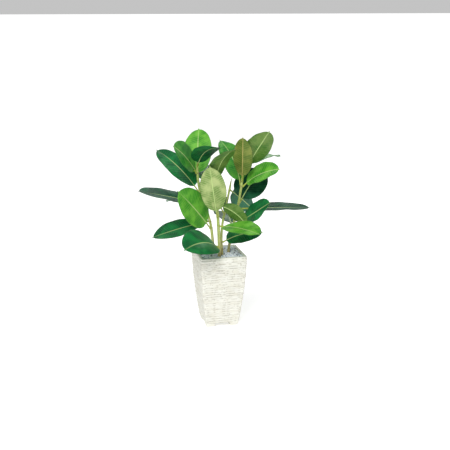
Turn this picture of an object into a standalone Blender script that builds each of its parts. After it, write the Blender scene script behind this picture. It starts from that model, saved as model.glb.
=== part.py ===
"""A rubber plant in a tapered square planter, about 0.62 m tall.

Four stems stand in a top dressing of small stones over soil.  Each leaf is one piece: a round
stalk that flattens into a pointed oval blade.  The planter stands on four corner feet.
All lengths are in metres, all angles in degrees, +Z is up.
"""
from collections import namedtuple
from math import cos, pi, radians, sin

import bmesh
import bpy
import numpy as np

# Planter
POT_HEIGHT = 0.230
POT_TOP_WIDTH = 0.145
POT_FOOT_WIDTH = 0.100
POT_BULGE_POWER = 1.6          # the sides stay upright at the top and draw in faster below
POT_WALL = 0.008
POT_FLOOR = 0.014
POT_LEVELS = 12                # rows of faces up the planter's side
POT_CORNER_ROUND = 0.004
FOOT_HEIGHT = 0.011
FOOT_WIDTH = 0.025

# Filling
GAP = 0.0003                   # clearance between touching pieces
STALK_GAP = 0.0008             # clearance between a leaning stem and a leaf stalk
STONE_TOP = POT_HEIGHT - 0.005
STONE_DEPTH = 0.012
SOIL_TOP = STONE_TOP - STONE_DEPTH - GAP
STEM_FOOT_Z = 0.150            # the stems go down into the soil to here

# Where the planter's axis stands in the part's own frame
PLANTER_X = -0.008
PLANTER_Y = 0.0

# Leaf section
BLADE_THICKNESS = 0.0016
MIDRIB_THICKNESS = 0.0030
STALK_RADIUS = 0.0022
TIP_RADIUS = 0.0004
BLADE_SECTIONS = 13
ACUMEN_WIDTH = 0.085           # half-width of the drawn-out tip, over the blade's half-width

STEM_SIDES = 10
STEM_STEPS = 18

# Each stem: its route's points from the soil to the tip, its radius at the foot and at the tip.
Stem = namedtuple("Stem", "route foot_radius tip_radius")
STEMS = {
    "main_stem": Stem(
        [(-0.007, -0.039, STEM_FOOT_Z), (-0.007, -0.039, 0.222), (-0.009, -0.041, 0.279),
         (-0.013, -0.046, 0.338), (-0.017, -0.050, 0.380), (-0.021, -0.044, 0.424),
         (-0.026, -0.034, 0.458)],
        0.0056, 0.0040),
    "slim_stem": Stem(
        [(0.005, -0.024, STEM_FOOT_Z), (0.005, -0.024, 0.228), (0.004, -0.019, 0.273),
         (0.009, -0.011, 0.321), (0.024, 0.002, 0.375), (0.037, 0.012, 0.423),
         (0.045, 0.016, 0.460)],
        0.0042, 0.0032),
    "right_stem": Stem(
        [(0.030, 0.004, STEM_FOOT_Z), (0.032, 0.003, 0.225), (0.038, 0.003, 0.264),
         (0.049, -0.002, 0.323), (0.060, -0.011, 0.382), (0.067, -0.016, 0.434),
         (0.072, -0.017, 0.471), (0.075, -0.014, 0.499)],
        0.0048, 0.0036),
    "left_stem": Stem(
        [(-0.014, 0.006, STEM_FOOT_Z), (-0.016, 0.004, 0.222), (-0.020, 0.001, 0.275),
         (-0.028, -0.001, 0.328), (-0.045, 0.003, 0.385), (-0.058, 0.010, 0.428),
         (-0.063, 0.015, 0.474), (-0.064, 0.018, 0.515)],
        0.0048, 0.0036),
}

# Each leaf: the stem and the height it grows from; its heading round the plant (0 is +X, 90 is
# +Y) and how far the heading swings along the leaf; its rise above level at the stalk and how
# far it droops towards the tip; the roll about its own midrib; how far its halves fold up; its
# stalk's length and its blade's length and width; and its tone of green.
Leaf = namedtuple("Leaf", "stem height heading rise droop swing roll fold stalk length width tone")
LEAVES = {
    "leaf_left_crown_tall": Leaf(
        "left_stem", 0.458, 80, 66, 25, -8, -12, 9, 0.022, 0.160, 0.092, "bright"),
    "leaf_left_crown_side": Leaf(
        "left_stem", 0.480, -145, 55, 26, 3, -67, 12, 0.018, 0.128, 0.086, "mid"),
    "leaf_left_crown_front": Leaf(
        "left_stem", 0.504, -85, 51, 45, 24, -10, 10, 0.014, 0.140, 0.076, "deep"),
    "leaf_left_upper": Leaf(
        "left_stem", 0.420, 139, 51, 29, -5, -19, 6, 0.024, 0.178, 0.084, "deep"),
    "leaf_left_long": Leaf(
        "left_stem", 0.385, -168, 18, 4, 7, -18, 10, 0.030, 0.200, 0.080, "dark"),
    "leaf_left_broad": Leaf(
        "left_stem", 0.308, -140, 47, 7, -7, -88, 7, 0.028, 0.180, 0.100, "bright"),
    "leaf_left_lower": Leaf(
        "left_stem", 0.330, 178, -10, 10, -6, -22, 10, 0.024, 0.160, 0.086, "deep"),
    "leaf_front_low": Leaf(
        "main_stem", 0.256, -138, 34, 52, -7, -34, 6, 0.014, 0.160, 0.106, "deep"),
    "leaf_centre_upright": Leaf(
        "main_stem", 0.355, -127, 71, -6, -8, 26, 16, 0.020, 0.154, 0.082, "pale"),
    "leaf_centre_high": Leaf(
        "main_stem", 0.452, -68, 76, 55, -3, 5, 12, 0.020, 0.146, 0.080, "olive"),
    "leaf_right_crown_inner": Leaf(
        "right_stem", 0.440, 108, 72, 39, 20, -6, 6, 0.018, 0.150, 0.090, "mid"),
    "leaf_right_crown_tall": Leaf(
        "right_stem", 0.490, -50, 56, 3, -2, -34, 10, 0.024, 0.134, 0.088, "olive"),
    "leaf_right_crown_front": Leaf(
        "right_stem", 0.456, -104, 66, -8, 0, -14, 14, 0.020, 0.136, 0.062, "warm"),
    "leaf_right_bright": Leaf(
        "right_stem", 0.438, -33, 46, 40, 4, 31, 11, 0.018, 0.118, 0.090, "bright"),
    "leaf_right_dark": Leaf(
        "right_stem", 0.385, 30, 52, 20, 0, 27, 8, 0.016, 0.126, 0.104, "dark"),
    "leaf_right_lower": Leaf(
        "right_stem", 0.313, -54, 34, -1, 3, 46, 8, 0.028, 0.138, 0.084, "deep"),
    "leaf_right_long": Leaf(
        "right_stem", 0.367, -12, 2, 4, 2, 8, 11, 0.034, 0.193, 0.070, "dark"),
    "leaf_front_right_low": Leaf(
        "slim_stem", 0.266, -20, 32, 36, 2, 40, 8, 0.012, 0.120, 0.068, "deep"),
    "leaf_front_right": Leaf(
        "main_stem", 0.325, -57, 9, 15, -7, 12, 12, 0.018, 0.154, 0.088, "bright"),
    "leaf_centre_hanging": Leaf(
        "main_stem", 0.392, -22, -16, 40, 0, -70, 9, 0.014, 0.092, 0.054, "olive"),
    "leaf_right_hanging": Leaf(
        "slim_stem", 0.422, 35, -32, 10, -5, -85, 15, 0.012, 0.126, 0.072, "teal"),
    "leaf_back_left_high": Leaf(
        "left_stem", 0.440, 60, 35, 60, 0, 0, 9, 0.030, 0.165, 0.088, "deep"),
    "leaf_back_left_low": Leaf(
        "left_stem", 0.352, 120, 25, 50, 0, 0, 9, 0.030, 0.170, 0.088, "deep"),
    "leaf_back_right_high": Leaf(
        "right_stem", 0.488, 36, 30, 55, 0, 0, 9, 0.036, 0.150, 0.080, "mid"),
    "leaf_back_right_low": Leaf(
        "right_stem", 0.300, 85, 25, 50, 0, 0, 9, 0.030, 0.170, 0.088, "deep"),
    "leaf_back_middle": Leaf(
        "slim_stem", 0.352, 98, 28, 50, 0, 0, 9, 0.030, 0.160, 0.084, "dark"),
}

TONES = {
    "bright": (0.125, 0.410, 0.045),
    "mid": (0.060, 0.300, 0.060),
    "deep": (0.012, 0.130, 0.045),
    "dark": (0.012, 0.075, 0.035),
    "olive": (0.190, 0.230, 0.070),
    "warm": (0.180, 0.180, 0.040),
    "pale": (0.400, 0.460, 0.170),
    "teal": (0.090, 0.240, 0.140),
}
IVORY = (0.870, 0.850, 0.740)
SOIL_BROWN = (0.040, 0.026, 0.017)
STONE_GREY = (0.560, 0.590, 0.640)
STEM_GREEN = (0.260, 0.270, 0.060)


def make_material(name, colour, roughness):
    """A plain material of one colour."""
    material = bpy.data.materials.new(name)
    material.use_nodes = True
    shader = material.node_tree.nodes["Principled BSDF"]
    shader.inputs["Base Color"].default_value = (*colour, 1.0)
    shader.inputs["Roughness"].default_value = roughness
    shader.inputs["Metallic"].default_value = 0.0
    return material


def add_object(name, data, collection, material=None):
    """Put a mesh or a curve in a collection as an object."""
    obj = bpy.data.objects.new(name, data)
    collection.objects.link(obj)
    if material is not None:
        data.materials.append(material)
    return obj


def mesh_from(bm, name):
    """Turn a bmesh into a mesh with its faces pointing out."""
    bmesh.ops.recalc_face_normals(bm, faces=bm.faces)
    mesh = bpy.data.meshes.new(name)
    bm.to_mesh(mesh)
    bm.free()
    return mesh


def add_cut(obj, cutter):
    """Take the cutter's shape out of an object."""
    cut = obj.modifiers.new("cut_" + cutter.name, "BOOLEAN")
    cut.operation = "DIFFERENCE"
    cut.object = cutter


def hide_cutter(cutter):
    """Mark an object as a cutter, which is no part of the plant."""
    cutter.hide_render = True
    cutter.display_type = "WIRE"


# ---------------------------------------------------------------- planter and filling

def side_half_width(height):
    """Half the planter's width at a height above the floor."""
    fall = min(max(1.0 - height / POT_HEIGHT, 0.0), 1.0)
    top = POT_TOP_WIDTH / 2
    foot = POT_FOOT_WIDTH / 2
    return top - (top - foot) * fall ** POT_BULGE_POWER


def tapered_block(name, low, high, inset, levels):
    """A square block between two heights that follows the planter's side, set in from it."""
    bm = bmesh.new()
    bmesh.ops.create_cube(bm, size=1.0)
    upright = [e for e in bm.edges if abs(e.verts[0].co.z - e.verts[1].co.z) > 0.5]
    bmesh.ops.subdivide_edges(bm, edges=upright, cuts=levels - 1)
    for vert in bm.verts:
        height = low + (vert.co.z + 0.5) * (high - low)
        half = side_half_width(height) - inset
        vert.co.x = half if vert.co.x > 0 else -half
        vert.co.y = half if vert.co.y > 0 else -half
        vert.co.z = height
    return mesh_from(bm, name)


def box(name, size, centre):
    """A plain box."""
    bm = bmesh.new()
    bmesh.ops.create_cube(bm, size=1.0)
    for vert in bm.verts:
        for axis in range(3):
            vert.co[axis] = vert.co[axis] * size[axis] + centre[axis]
    return mesh_from(bm, name)


def build_planter(parts, cutters):
    """The tapered planter: rounded corners, an open top and four feet at the corners."""
    mesh = tapered_block("planter", 0.0, POT_HEIGHT, 0.0, POT_LEVELS)
    planter = add_object("planter", mesh, parts, make_material("planter_stone", IVORY, 0.75))
    rounding = planter.modifiers.new("rounded_edges", "BEVEL")
    rounding.width = POT_CORNER_ROUND
    rounding.segments = 2
    rounding.limit_method = "ANGLE"
    rounding.angle_limit = radians(60)

    inside = tapered_block("planter_inside", FOOT_HEIGHT + POT_FLOOR, POT_HEIGHT * 1.1, POT_WALL, POT_LEVELS)
    hollow = add_object("planter_hollow", inside, cutters)
    gap_between_feet = POT_FOOT_WIDTH - 2 * FOOT_WIDTH
    past_sides = POT_FOOT_WIDTH * 1.5
    recess_x = add_object("foot_recess_x", box(
        "foot_recess_x", (past_sides, gap_between_feet, 2 * FOOT_HEIGHT), (0, 0, 0)), cutters)
    recess_y = add_object("foot_recess_y", box(
        "foot_recess_y", (gap_between_feet, past_sides, 2 * FOOT_HEIGHT), (0, 0, 0)), cutters)
    for cutter in (hollow, recess_x, recess_y):
        hide_cutter(cutter)
        add_cut(planter, cutter)
    return planter


def build_filling(parts, stem_cutters):
    """The soil, and the layer of small stones on it, both with holes where the stems go down."""
    inset = POT_WALL + GAP
    soil_mesh = tapered_block("soil", FOOT_HEIGHT + POT_FLOOR + GAP, SOIL_TOP, inset, POT_LEVELS)
    soil = add_object("soil", soil_mesh, parts, make_material("soil_brown", SOIL_BROWN, 0.95))
    stone_mesh = tapered_block("top_dressing", SOIL_TOP + GAP, STONE_TOP, inset, 1)
    stones = add_object("top_dressing", stone_mesh, parts, make_material("small_stones", STONE_GREY, 0.7))
    for filling in (soil, stones):
        for cutter in stem_cutters:
            add_cut(filling, cutter)
    return soil, stones


# ---------------------------------------------------------------- stems

def smooth_route(points, steps):
    """Points along a smooth curve (Catmull-Rom) through the given points, evenly by parameter."""
    knots = np.array(points, dtype=float)
    before = 2 * knots[0] - knots[1]
    after = 2 * knots[-1] - knots[-2]
    knots = np.vstack([before, knots, after])
    spans = len(knots) - 3
    route = []
    for step in range(steps + 1):
        place = step / steps * spans
        i = min(int(place), spans - 1)
        t = place - i
        a, b, c, d = knots[i:i + 4]
        route.append(0.5 * (2 * b + (c - a) * t + (2 * a - 5 * b + 4 * c - d) * t ** 2
                            + (3 * b - a - 3 * c + d) * t ** 3))
    return np.array(route)


def stem_radius(stem, height):
    """The stem's radius at a height, thinner towards its tip."""
    low = stem.route[0][2]
    high = stem.route[-1][2]
    share = (height - low) / (high - low)
    return stem.foot_radius + (stem.tip_radius - stem.foot_radius) * share


def stem_centre(stem, height):
    """The point on the stem's middle line at a height."""
    route = smooth_route(stem.route, STEM_STEPS)
    return np.array([np.interp(height, route[:, 2], route[:, axis]) for axis in range(3)])


def stem_curve(name, stem, extra):
    """The stem as a round tube with filled ends, thicker by extra all over."""
    curve = bpy.data.curves.new(name, "CURVE")
    curve.dimensions = "3D"
    curve.bevel_depth = 1.0
    curve.bevel_resolution = (STEM_SIDES - 4) // 2
    curve.use_fill_caps = True
    route = smooth_route(stem.route, STEM_STEPS)
    route[0][2] -= extra
    spline = curve.splines.new("POLY")
    spline.points.add(len(route) - 1)
    for point, place in zip(spline.points, route):
        point.co = (*place, 1.0)
        point.radius = stem_radius(stem, place[2]) + extra
    return curve


def mesh_of_curve(curve, collection):
    """A closed mesh of a tube, so that it can cut other pieces."""
    tube = add_object(curve.name, curve, collection)
    evaluated = tube.evaluated_get(bpy.context.evaluated_depsgraph_get())
    mesh = bpy.data.meshes.new_from_object(evaluated)
    bpy.data.objects.remove(tube)
    bm = bmesh.new()
    bm.from_mesh(mesh)
    bmesh.ops.remove_doubles(bm, verts=bm.verts, dist=0.00001)
    bm.to_mesh(mesh)
    bm.free()
    return mesh


def build_stems(parts, cutters):
    """The four stems, and for each the slightly thicker shape that cuts its hole."""
    bark = make_material("stem_bark", STEM_GREEN, 0.6)
    stems = []
    stem_cutters = []
    for name, stem in STEMS.items():
        stems.append(add_object(name, stem_curve(name, stem, 0.0), parts, bark))
        hole = mesh_of_curve(stem_curve(name + "_hole", stem, GAP), cutters)
        cutter = add_object(name + "_hole", hole, cutters)
        hide_cutter(cutter)
        stem_cutters.append(cutter)
    return stems, stem_cutters


# ---------------------------------------------------------------- leaves

def leaf_line(leaf):
    """The leaf's middle line, from the stem's skin to the tip.

    Returns the distance along it, its points, its directions and its headings in radians.
    """
    stem = STEMS[leaf.stem]
    heading = radians(leaf.heading)
    outward = np.array([cos(heading), sin(heading), 0.0])
    skin = stem_radius(stem, leaf.height) + STALK_GAP
    start = stem_centre(stem, leaf.height) + outward * skin

    total = leaf.stalk + leaf.length
    distance = np.linspace(0.0, total, 241)
    bend_start = leaf.stalk / 2
    share = np.clip((distance - bend_start) / (total - bend_start), 0.0, 1.0)
    rise = np.radians(leaf.rise - leaf.droop * share)
    headings = np.radians(leaf.heading + leaf.swing * share)
    direction = np.stack([np.cos(rise) * np.cos(headings), np.cos(rise) * np.sin(headings), np.sin(rise)], axis=1)
    steps = (direction[1:] + direction[:-1]) / 2 * np.diff(distance)[:, None]
    points = start + np.vstack([np.zeros(3), np.cumsum(steps, axis=0)])
    return distance, points, direction, headings


def leaf_frame(direction, heading, roll):
    """The leaf's side vector and its upper surface's normal, rolled about its middle line."""
    level_side = np.array([-sin(heading), cos(heading), 0.0])
    level_up = np.cross(direction, level_side)
    turn = radians(roll)
    side = cos(turn) * level_side + sin(turn) * level_up
    up = cos(turn) * level_up - sin(turn) * level_side
    return side, up


def blade_half_width(share):
    """The blade's half-width, over its widest, at a share of its length: an oval and a fine tip."""
    oval_share = min(share / 0.955, 1.0) ** 0.93
    oval = max(1.0 - (2.0 * oval_share - 1.0) ** 2, 0.0) ** 0.55
    tip = ACUMEN_WIDTH * min((1.0 - share) / 0.1, 1.0) ** 0.8 if share > 0.7 else 0.0
    return (oval ** 4 + tip ** 4) ** 0.25


def stalk_ring(centre, side, up):
    """Eight points round the stalk."""
    ring = []
    for step in range(8):
        angle = pi * step / 4
        ring.append(centre + STALK_RADIUS * (sin(angle) * up - cos(angle) * side))
    return ring


def blade_ring(leaf, share, centre, side, up):
    """Eight points round the blade: its two edges, and three points on each face."""
    half = max(blade_half_width(share) * leaf.width / 2, TIP_RADIUS)
    fold = radians(leaf.fold)
    skin = BLADE_THICKNESS / 2
    rib = MIDRIB_THICKNESS / 2 * (1.0 - share) + skin * share
    places = ((-1.0, 0.0), (-0.5, skin), (0.0, rib), (0.5, skin), (1.0, 0.0), (0.5, -skin), (0.0, -rib), (-0.5, -skin))
    ring = []
    for across, thickness in places:
        reach = abs(across) * half
        lift = reach * sin(fold) * (1.0 - 0.35 * abs(across))
        ring.append(centre + side * (across * half * cos(fold)) + up * (lift + thickness * min(1.0, half / 0.002)))
    return ring


def leaf_rings(leaf):
    """Rings of eight points along the leaf, from its foot on the stem to its tip."""
    distance, points, direction, headings = leaf_line(leaf)

    def at(place):
        centre = np.array([np.interp(place, distance, points[:, axis]) for axis in range(3)])
        ahead = np.array([np.interp(place, distance, direction[:, axis]) for axis in range(3)])
        return centre, ahead, float(np.interp(place, distance, headings))

    rings = []
    for share in (0.0, 0.45, 0.9):
        centre, ahead, heading = at(share * leaf.stalk)
        if share == 0.0:
            ahead = np.array([cos(heading), sin(heading), 0.0])
        rings.append(stalk_ring(centre, *leaf_frame(ahead, heading, leaf.roll)))
    for step in range(1, BLADE_SECTIONS + 1):
        share = (1.0 - cos(pi * step / BLADE_SECTIONS)) / 2
        centre, ahead, heading = at(leaf.stalk + share * leaf.length)
        rings.append(blade_ring(leaf, share, centre, *leaf_frame(ahead, heading, leaf.roll)))
    return rings


def leaf_mesh(name, leaf):
    """One closed leaf: its rings joined up, with an end at each side."""
    bm = bmesh.new()
    loops = [[bm.verts.new(point) for point in ring] for ring in leaf_rings(leaf)]
    for low, high in zip(loops, loops[1:]):
        for step in range(8):
            following = (step + 1) % 8
            bm.faces.new((low[step], low[following], high[following], high[step]))
    bm.faces.new(loops[0])
    bm.faces.new(loops[-1])
    return mesh_from(bm, name)


def build_leaves(parts):
    """All the leaves, each a piece of its own."""
    greens = {tone: make_material("leaf_" + tone, colour, 0.4) for tone, colour in TONES.items()}
    return [add_object(name, leaf_mesh(name, leaf), parts, greens[leaf.tone])
            for name, leaf in LEAVES.items()]


def main():
    """Build the whole plant under one empty at the planter's axis."""
    for obj in list(bpy.data.objects):
        bpy.data.objects.remove(obj)
    scene = bpy.context.scene.collection
    parts = bpy.data.collections.new("rubber_plant")
    cutters = bpy.data.collections.new("cutters")
    scene.children.link(parts)
    scene.children.link(cutters)

    axis = bpy.data.objects.new("planter_axis", None)
    axis.location = (PLANTER_X, PLANTER_Y, 0.0)
    parts.objects.link(axis)

    stems, stem_cutters = build_stems(parts, cutters)
    build_planter(parts, cutters)
    build_filling(parts, stem_cutters)
    build_leaves(parts)
    for obj in list(parts.objects) + list(cutters.objects):
        if obj is not axis:
            obj.parent = axis


if __name__ == "__main__":
    main()
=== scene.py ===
"""The looks of a rubber plant in a tapered stone-faced planter.

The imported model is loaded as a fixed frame, in metres with +Z up.  Each part of the plant is a
class: the planter's stacked-stone shell, the soil and its small stones, the stems and the
leaves.  Every leaf is one piece of leaf stock, bent along its own middle line.
"""

import logging
import random
from dataclasses import dataclass, field
from enum import Enum
from math import cos, pi, radians, sin, tau
from typing import Iterable, Sequence

import bpy
import numpy as np
from mathutils import Matrix, Vector, noise


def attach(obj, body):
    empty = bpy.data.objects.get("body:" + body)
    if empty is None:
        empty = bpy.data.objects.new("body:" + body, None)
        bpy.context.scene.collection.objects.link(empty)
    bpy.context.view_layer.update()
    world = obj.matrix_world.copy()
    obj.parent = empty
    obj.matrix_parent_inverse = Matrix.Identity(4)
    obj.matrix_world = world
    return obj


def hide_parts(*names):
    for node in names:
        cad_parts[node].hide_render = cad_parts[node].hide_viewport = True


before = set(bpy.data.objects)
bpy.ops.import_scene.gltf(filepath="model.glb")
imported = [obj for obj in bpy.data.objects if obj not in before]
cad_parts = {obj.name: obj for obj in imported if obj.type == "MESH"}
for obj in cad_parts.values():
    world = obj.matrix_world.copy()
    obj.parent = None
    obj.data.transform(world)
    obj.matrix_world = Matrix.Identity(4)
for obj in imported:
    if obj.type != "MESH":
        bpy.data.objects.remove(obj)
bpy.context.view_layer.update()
LOG = logging.getLogger("rubber_plant")

# Where the planter's axis stands
PLANTER_X = -0.008
PLANTER_Y = 0.0
STALK_GAP = 0.0008

# A leaf's stalk, its swollen foot on the stem, and where along the blade it turns flat
STALK_RADIUS = 0.0021
FOOT_SWELL = 0.55
FOOT_REACH = 0.0035
FLAT_FROM = 0.035

# Its blade: half the thickness, the waves of its edges, the rib below and the groove above
SKIN = 0.00042
WAVE_HEIGHT = 0.0042
RIB_DEPTH = 0.0018
RIB_WIDTH = 0.0017
GROOVE_DEPTH = 0.0006
GROOVE_WIDTH = 0.0013


# ------------------------------------------------------------------ shader maths

@dataclass
class Wire:
    """A shader socket, so that node maths reads as ordinary expressions."""

    tree: bpy.types.NodeTree
    socket: bpy.types.NodeSocket

    def make(self, kind: str, settings: dict, inputs: dict, output: int | str = 0) -> "Wire":
        """Add a node to the wire's tree.

        Args:
            kind: the node's type name.
            settings: attributes of the node, set first.
            inputs: socket name or number to a value or a Wire.
            output: the output socket's name or number.

        Returns:
            The node's output as a Wire.
        """
        return make_node(self.tree, kind, settings, inputs, output)

    def _maths(self, operation: str, *values: "Wire | float") -> "Wire":
        """A Math node of one operation on the given values."""
        return self.make("ShaderNodeMath", {"operation": operation}, dict(enumerate(values)))

    def __add__(self, other: "Wire | float") -> "Wire":
        """self + other."""
        return self._maths("ADD", self, other)

    __radd__ = __add__

    def __sub__(self, other: "Wire | float") -> "Wire":
        """self - other."""
        return self._maths("SUBTRACT", self, other)

    def __rsub__(self, other: "Wire | float") -> "Wire":
        """other - self."""
        return self._maths("SUBTRACT", other, self)

    def __mul__(self, other: "Wire | float") -> "Wire":
        """self * other."""
        return self._maths("MULTIPLY", self, other)

    __rmul__ = __mul__

    def size(self) -> "Wire":
        """The value without its sign."""
        return self._maths("ABSOLUTE", self)

    def wave(self) -> "Wire":
        """The sine of the value."""
        return self._maths("SINE", self)

    def ramp(self, low: float, high: float) -> "Wire":
        """A smooth step.

        Args:
            low: where the step starts.
            high: where it ends; below low, the step falls instead of rising.

        Returns:
            0 before the step and 1 after it.
        """
        inputs = {0: self, 1: low, 2: high, 3: 0.0, 4: 1.0}
        if low > high:
            inputs = {0: self, 1: high, 2: low, 3: 1.0, 4: 0.0}
        return self.make("ShaderNodeMapRange", {"interpolation_type": "SMOOTHSTEP"}, inputs)


def make_node(tree: bpy.types.NodeTree, kind: str, settings: dict, inputs: dict,
              output: int | str = 0) -> Wire:
    """Add a node, set it up and link its inputs.

    Args:
        tree: the material's node tree.
        kind: the node's type name.
        settings: attributes of the node, set first.
        inputs: socket name or number to a value or a Wire.
        output: the output socket's name or number.

    Returns:
        The node's output as a Wire.
    """
    node = tree.nodes.new(kind)
    for key, value in settings.items():
        setattr(node, key, value)
    for key, value in inputs.items():
        if isinstance(value, Wire):
            tree.links.new(value.socket, node.inputs[key])
        else:
            node.inputs[key].default_value = value
    return Wire(tree, node.outputs[output])


def rgba(colour: Sequence[float]) -> tuple[float, float, float, float]:
    """A colour with full alpha."""
    return (colour[0], colour[1], colour[2], 1.0)


@dataclass
class Shader:
    """A new material with a Principled BSDF, and the nodes that feed it."""

    name: str
    roughness: float = 0.5
    coat: float = 0.0
    coat_roughness: float = 0.2
    specular: float = 0.5
    material: bpy.types.Material = field(init=False)

    def __post_init__(self) -> None:
        """Create the material with its constant values on the shader's own sockets."""
        self.material = bpy.data.materials.new(self.name)
        self.material.use_nodes = True
        self.bsdf = self.material.node_tree.nodes["Principled BSDF"]
        self.bsdf.inputs["Roughness"].default_value = self.roughness
        self.bsdf.inputs["Coat Weight"].default_value = self.coat
        self.bsdf.inputs["Coat Roughness"].default_value = self.coat_roughness
        self.bsdf.inputs["Specular IOR Level"].default_value = self.specular

    def node(self, kind: str, settings: dict, inputs: dict, output: int | str = 0) -> Wire:
        """Add a node to this material and return its output."""
        return make_node(self.material.node_tree, kind, settings, inputs, output)

    def object_place(self) -> Wire:
        """The place on the piece, in metres."""
        return self.node("ShaderNodeTexCoord", {}, {}, "Object")

    def split(self, vector: Wire) -> tuple[Wire, Wire, Wire]:
        """A vector's three parts."""
        first = self.node("ShaderNodeSeparateXYZ", {}, {0: vector}, 0)
        outputs = first.socket.node.outputs
        return first, Wire(first.tree, outputs[1]), Wire(first.tree, outputs[2])

    def stretch(self, vector: Wire, scale: Sequence[float]) -> Wire:
        """A vector multiplied part by part."""
        return self.node("ShaderNodeVectorMath", {"operation": "MULTIPLY"}, {0: vector, 1: tuple(scale)})

    def grain(self, vector: Wire, scale: float, detail: float = 3.0) -> Wire:
        """Noise from 0 to 1 at a scale per metre."""
        return self.node("ShaderNodeTexNoise", {}, {"Vector": vector, "Scale": scale, "Detail": detail})

    def blend(self, factor: Wire | float, first: Wire | Sequence[float],
              second: Wire | Sequence[float]) -> Wire:
        """A colour between two others."""
        low = first if isinstance(first, Wire) else rgba(first)
        high = second if isinstance(second, Wire) else rgba(second)
        return self.node("ShaderNodeMix", {"data_type": "RGBA"}, {0: factor, 6: low, 7: high}, 2)

    def attribute(self, name: str) -> Wire:
        """A number stored on the mesh's points."""
        return self.node("ShaderNodeAttribute", {"attribute_name": name}, {}, "Fac")

    def colour(self, colour: Wire) -> None:
        """Feed the base colour."""
        colour.tree.links.new(colour.socket, self.bsdf.inputs["Base Color"])

    def rough(self, value: Wire) -> None:
        """Feed the roughness."""
        value.tree.links.new(value.socket, self.bsdf.inputs["Roughness"])

    def bump(self, height: Wire, strength: float, distance: float) -> None:
        """Feed the normal from a height, with distance in metres."""
        inputs = {"Strength": strength, "Distance": distance, "Height": height}
        normal = self.node("ShaderNodeBump", {}, inputs)
        normal.tree.links.new(normal.socket, self.bsdf.inputs["Normal"])


# ------------------------------------------------------------------ finishes

@dataclass(frozen=True)
class StackedStone:
    """Ivory cast stone, painted a little darker in its joints and pits as shade."""

    light: tuple[float, float, float] = (0.770, 0.765, 0.700)
    warm: tuple[float, float, float] = (0.710, 0.695, 0.610)
    # joint: the colour of the painted shade in the joints and pits, also used for the sand's dark specks
    joint: tuple[float, float, float] = (0.440, 0.425, 0.350)

    def material(self) -> bpy.types.Material:
        """The finish as a material; it reads the planter's "hollow" attribute to paint shade into the joints
        and pits.
        """
        shader = Shader("stacked_stone", roughness=0.8)
        place = shader.object_place()
        patches = shader.grain(shader.stretch(place, (1.0, 1.0, 2.2)), 38.0, 4.0)
        sand = shader.grain(place, 900.0, 2.0)
        face = shader.blend(patches.ramp(0.35, 0.7), self.light, self.warm)
        face = shader.blend(sand.ramp(0.55, 0.85) * 0.18, face, self.joint)
        hollow = shader.attribute("hollow")
        # Painted shade: the hollows of the joints and pits are darkened towards the joint colour
        shader.colour(shader.blend(hollow.ramp(0.15, 1.0) * 0.8, face, self.joint))
        shader.rough(0.72 + sand * 0.2)
        shader.bump(sand + patches * 0.6, 0.45, 0.0006)
        return shader.material


@dataclass(frozen=True)
class Soil:
    """Dark, crumbly potting soil."""

    dark: tuple[float, float, float] = (0.022, 0.014, 0.009)
    light: tuple[float, float, float] = (0.085, 0.055, 0.034)

    def material(self) -> bpy.types.Material:
        """The finish as a material."""
        shader = Shader("potting_soil", roughness=0.95)
        place = shader.object_place()
        crumbs = shader.grain(place, 260.0, 4.0)
        shader.colour(shader.blend(crumbs.ramp(0.4, 0.7), self.dark, self.light))
        shader.bump(crumbs, 0.9, 0.003)
        return shader.material


@dataclass(frozen=True)
class GravelBed:
    """The shaded bed of grit under the top layer of stones, with painted shade darkening the gaps between its
    grains.
    """

    # dark is the painted shade in the gaps between the grains
    dark: tuple[float, float, float] = (0.320, 0.350, 0.420)
    light: tuple[float, float, float] = (0.750, 0.790, 0.860)

    def material(self) -> bpy.types.Material:
        """The finish as a material."""
        shader = Shader("gravel_bed", roughness=0.9)
        place = shader.object_place()
        cells = shader.node("ShaderNodeTexVoronoi", {}, {"Vector": place, "Scale": 320.0}, "Distance")
        # Painted shade: the grit is darker towards the edges of each cell, between the grains
        shader.colour(shader.blend(cells.ramp(0.25, 0.75), self.light, self.dark))
        shader.bump(1.0 - cells, 0.9, 0.002)
        return shader.material


@dataclass(frozen=True)
class Pebbles:
    """Small rounded stones: white and pale blue-grey, with a few dark ones."""

    white: tuple[float, float, float] = (0.880, 0.900, 0.930)
    blue_grey: tuple[float, float, float] = (0.620, 0.680, 0.800)
    dark: tuple[float, float, float] = (0.070, 0.085, 0.100)

    def material(self) -> bpy.types.Material:
        """The finish as a material; it reads each stone's "shade" attribute."""
        shader = Shader("small_stones", roughness=0.55)
        place = shader.object_place()
        shade = shader.attribute("shade")
        mottle = shader.grain(place, 700.0, 3.0)
        pale = shader.blend(shade.ramp(0.25, 0.75), self.blue_grey, self.white)
        stone = shader.blend(shade.ramp(0.11, 0.07), pale, self.dark)
        shader.colour(shader.blend(mottle.ramp(0.5, 0.8) * 0.45, stone, self.blue_grey))
        shader.rough(0.4 + mottle * 0.3)
        shader.bump(mottle, 0.3, 0.0004)
        return shader.material


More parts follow.
